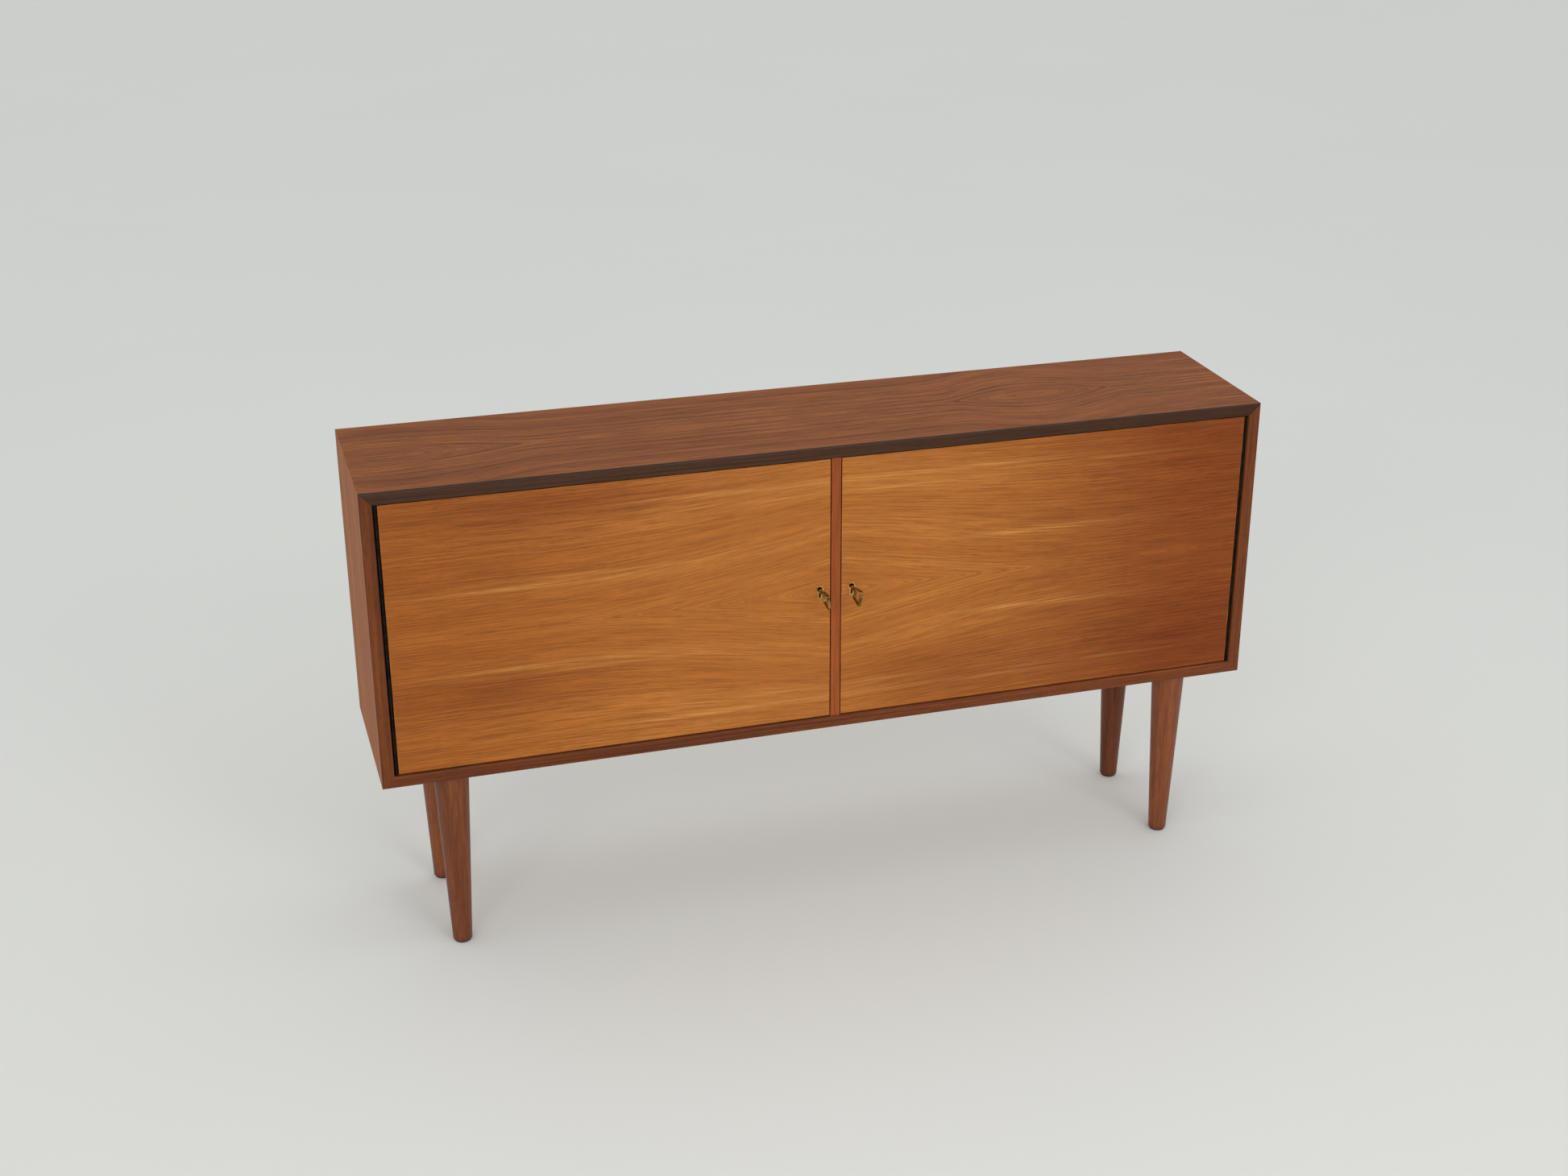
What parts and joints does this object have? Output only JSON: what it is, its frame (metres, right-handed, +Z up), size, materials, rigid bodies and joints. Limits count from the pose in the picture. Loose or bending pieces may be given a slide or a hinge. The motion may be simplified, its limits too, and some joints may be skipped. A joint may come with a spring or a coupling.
{
  "type": "sideboard buffet",
  "caption": "Low box sideboard with a shelf behind each hinged, lockable door, raised on round tapered legs.",
  "frame": {"origin": "on the floor, under the middle of the whole object, keys included", "axes": "+Z up, doors and keys facing -Y, +X to the right of someone who faces the doors"},
  "size_m": [1.3, 0.3076, 0.712],
  "materials": {
    "teak_top": "oiled teak veneer, satin, red-brown",
    "teak_side": "oiled teak veneer, satin, paler",
    "teak_lipping": "oiled solid teak, dark, satin",
    "teak_lipping_dark": "solid hardwood, oiled very dark grey-brown, satin",
    "teak_door": "oiled teak veneer, honey orange, satin",
    "teak_inside": "teak veneer, matt",
    "teak_leg": "oiled solid teak, satin",
    "beech": "plain beech",
    "plywood_back": "thin plywood, matt",
    "plain_steel": "dull steel",
    "blackened_steel": "black, satin",
    "brass_fittings": "worn brass",
    "aged_brass": "dark aged brass, bright at the edges",
    "dark_nylon": "dark brown nylon"
  },
  "bodies": {
    "case": {"top_panel": "teak_top", "bottom_panel": "teak_side", "side_panel_left": "teak_side", "side_panel_right": "teak_side", "front_lipping_top": "teak_lipping_dark", "front_lipping_bottom": "teak_lipping", "front_lipping_left": "teak_lipping", "front_lipping_right": "teak_lipping", "mitre_splines": "beech", "partition_dowels": "beech", "back_panel": "plywood_back", "back_panel_screws": "plain_steel", "centre_partition": "teak_inside", "partition_lipping": "teak_lipping", "leg_bolts": "plain_steel", "leg_inserts": "brass_fittings", "leg_front_left": "teak_leg", "glide_front_left": "dark_nylon", "leg_front_right": "teak_leg", "glide_front_right": "dark_nylon", "leg_back_left": "teak_leg", "glide_back_left": "dark_nylon", "leg_back_right": "teak_leg", "glide_back_right": "dark_nylon", "shelf_left": "teak_inside", "shelf_pins_left": "brass_fittings", "door_stop_left": "beech", "hinge_leaf_case_left": "blackened_steel", "hinge_pin_left": "blackened_steel", "hinge_screws_case_left": "blackened_steel", "shelf_right": "teak_inside", "shelf_pins_right": "brass_fittings", "door_stop_right": "beech", "hinge_leaf_case_right": "blackened_steel", "hinge_pin_right": "blackened_steel", "hinge_screws_case_right": "blackened_steel"},
    "door_left": {"door_left": "teak_door", "hinge_leaf_door_left": "blackened_steel", "hinge_screws_door_left": "blackened_steel", "keyhole_insert_left": "brass_fittings", "lock_case_left": "plain_steel", "lock_cover_left": "plain_steel", "lock_screws_left": "plain_steel"},
    "key_and_hub_left": {"key_left": "aged_brass", "lock_hub_left": "plain_steel"},
    "bolt_left": {"lock_bolt_left": "plain_steel"},
    "door_right": {"door_right": "teak_door", "hinge_leaf_door_right": "blackened_steel", "hinge_screws_door_right": "blackened_steel", "keyhole_insert_right": "brass_fittings", "lock_case_right": "plain_steel", "lock_cover_right": "plain_steel", "lock_screws_right": "plain_steel"},
    "key_and_hub_right": {"key_right": "aged_brass", "lock_hub_right": "plain_steel"},
    "bolt_right": {"lock_bolt_right": "plain_steel"}
  },
  "joints": [
    {"name": "door_right_swing", "type": "hinge", "parent": "case", "child": "door_right", "pos_m": [0.6293, -0.10885, 0.496], "axis": [0, 0, 1], "range_deg": [0, 95]},
    {"name": "key_right_turn", "type": "hinge", "parent": "door_right", "child": "key_and_hub_right", "pos_m": [0.0237, -0.11125, 0.4986], "axis": [0, -1, 0], "range_deg": [0, 90]},
    {"name": "bolt_right_slide", "type": "slide", "parent": "door_right", "child": "bolt_right", "axis": [-1, 0, 0], "range_m": [0, 0.00566]},
    {"name": "door_left_swing", "type": "hinge", "parent": "case", "child": "door_left", "pos_m": [-0.6293, -0.10885, 0.496], "axis": [0, 0, -1], "range_deg": [0, 95]},
    {"name": "key_left_turn", "type": "hinge", "parent": "door_left", "child": "key_and_hub_left", "pos_m": [-0.0237, -0.11125, 0.4986], "axis": [0, 1, 0], "range_deg": [0, 90]},
    {"name": "bolt_left_slide", "type": "slide", "parent": "door_left", "child": "bolt_left", "axis": [1, 0, 0], "range_m": [0, 0.00566]}
  ],
  "couplings": [
    {"joint": "bolt_right_slide", "follows": "key_right_turn", "m_per_rad": 0.0036013},
    {"joint": "bolt_left_slide", "follows": "key_left_turn", "m_per_rad": 0.0036013}
  ]
}
